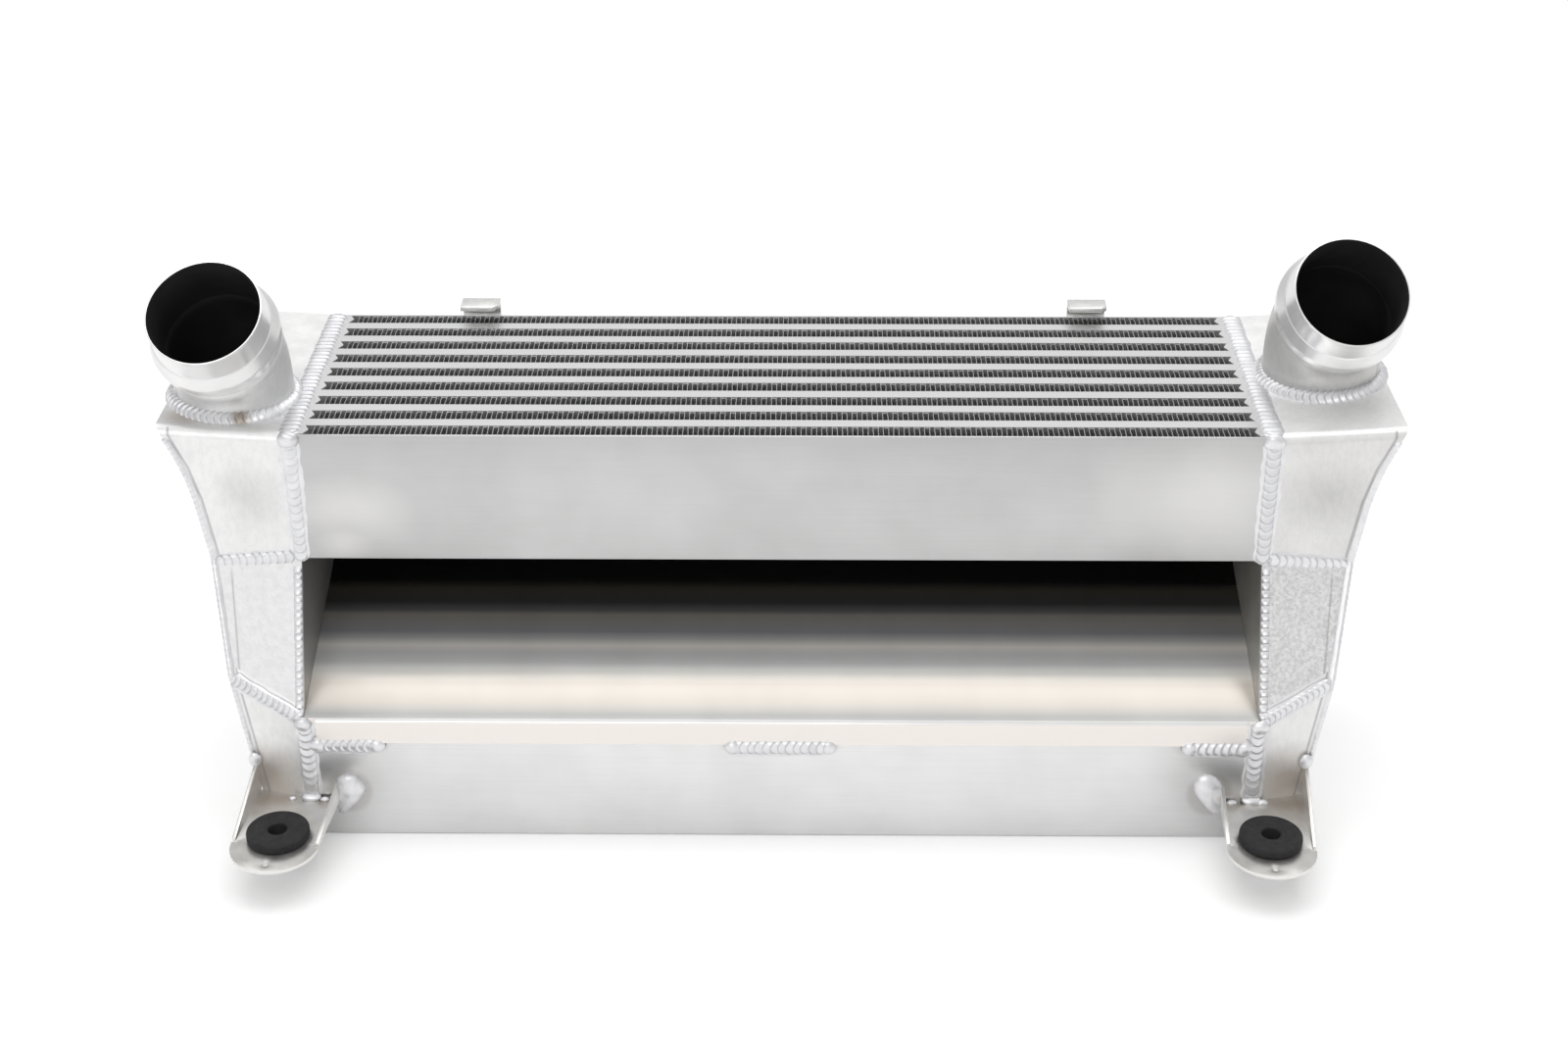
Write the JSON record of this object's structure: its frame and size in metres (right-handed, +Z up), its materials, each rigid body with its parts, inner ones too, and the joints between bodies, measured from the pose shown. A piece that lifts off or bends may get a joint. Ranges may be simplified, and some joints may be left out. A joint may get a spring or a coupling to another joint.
{
  "type": "stepped twin-core charge air cooler",
  "caption": "Air-to-air charge air cooler: two stacked bar-and-plate cores with an air duct between, welded end tanks, forward-leaning hose necks, rubber-mounted brackets.",
  "frame": {"origin": "on the floor plane, at the middle of the bounding box's X and Y extents", "axes": "+X along the cores to the right as seen from the front, +Y from the front with the air duct to the back, +Z up, from the lower core to the upper core and the necks"},
  "size_m": [0.6669, 0.2628, 0.3194],
  "materials": {
    "core": "satin, brushed",
    "fins": "mill",
    "tank": "matte, cleaned after welding",
    "cast": "rough, blasted",
    "machined": "turned",
    "deflector": "semi-polished sheet",
    "bracket": "semi-polished sheet",
    "hook": "mill",
    "weld": "rippled, as welded",
    "rubber": "matte"
  },
  "bodies": {
    "root": {"air_deflector": "deflector", "deflector_welds": "weld", "left_back_wall": "tank", "left_bottom_plate": "tank", "left_bracket_weld": "weld", "left_core_welds": "weld", "left_edge_welds": "weld", "left_hanger_hook": "hook", "left_hose_adapter": "machined", "left_inner_wall": "tank", "left_lower_panel": "tank", "left_middle_panel": "cast", "left_mount_bracket": "bracket", "left_neck": "tank", "left_neck_weld": "weld", "left_outer_wall": "tank", "left_rubber_mount": "rubber", "left_shoulder_panel": "tank", "left_tank_welds": "weld", "lower_back_side_plate": "core", "lower_charge_bars": "core", "lower_cooling_fins": "fins", "lower_fin_end_bars": "core", "lower_front_side_plate": "core", "lower_parting_sheets": "core", "lower_turbulators": "fins", "right_back_wall": "tank", "right_bottom_plate": "tank", "right_bracket_weld": "weld", "right_core_welds": "weld", "right_edge_welds": "weld", "right_hanger_hook": "hook", "right_hose_adapter": "machined", "right_inner_wall": "tank", "right_lower_panel": "tank", "right_middle_panel": "cast", "right_mount_bracket": "bracket", "right_neck": "tank", "right_neck_weld": "weld", "right_outer_wall": "tank", "right_rubber_mount": "rubber", "right_shoulder_panel": "tank", "right_tank_welds": "weld", "upper_back_side_plate": "core", "upper_charge_bars": "core", "upper_cooling_fins": "fins", "upper_fin_end_bars": "core", "upper_front_side_plate": "core", "upper_parting_sheets": "core", "upper_turbulators": "fins"}
  },
  "joints": []
}
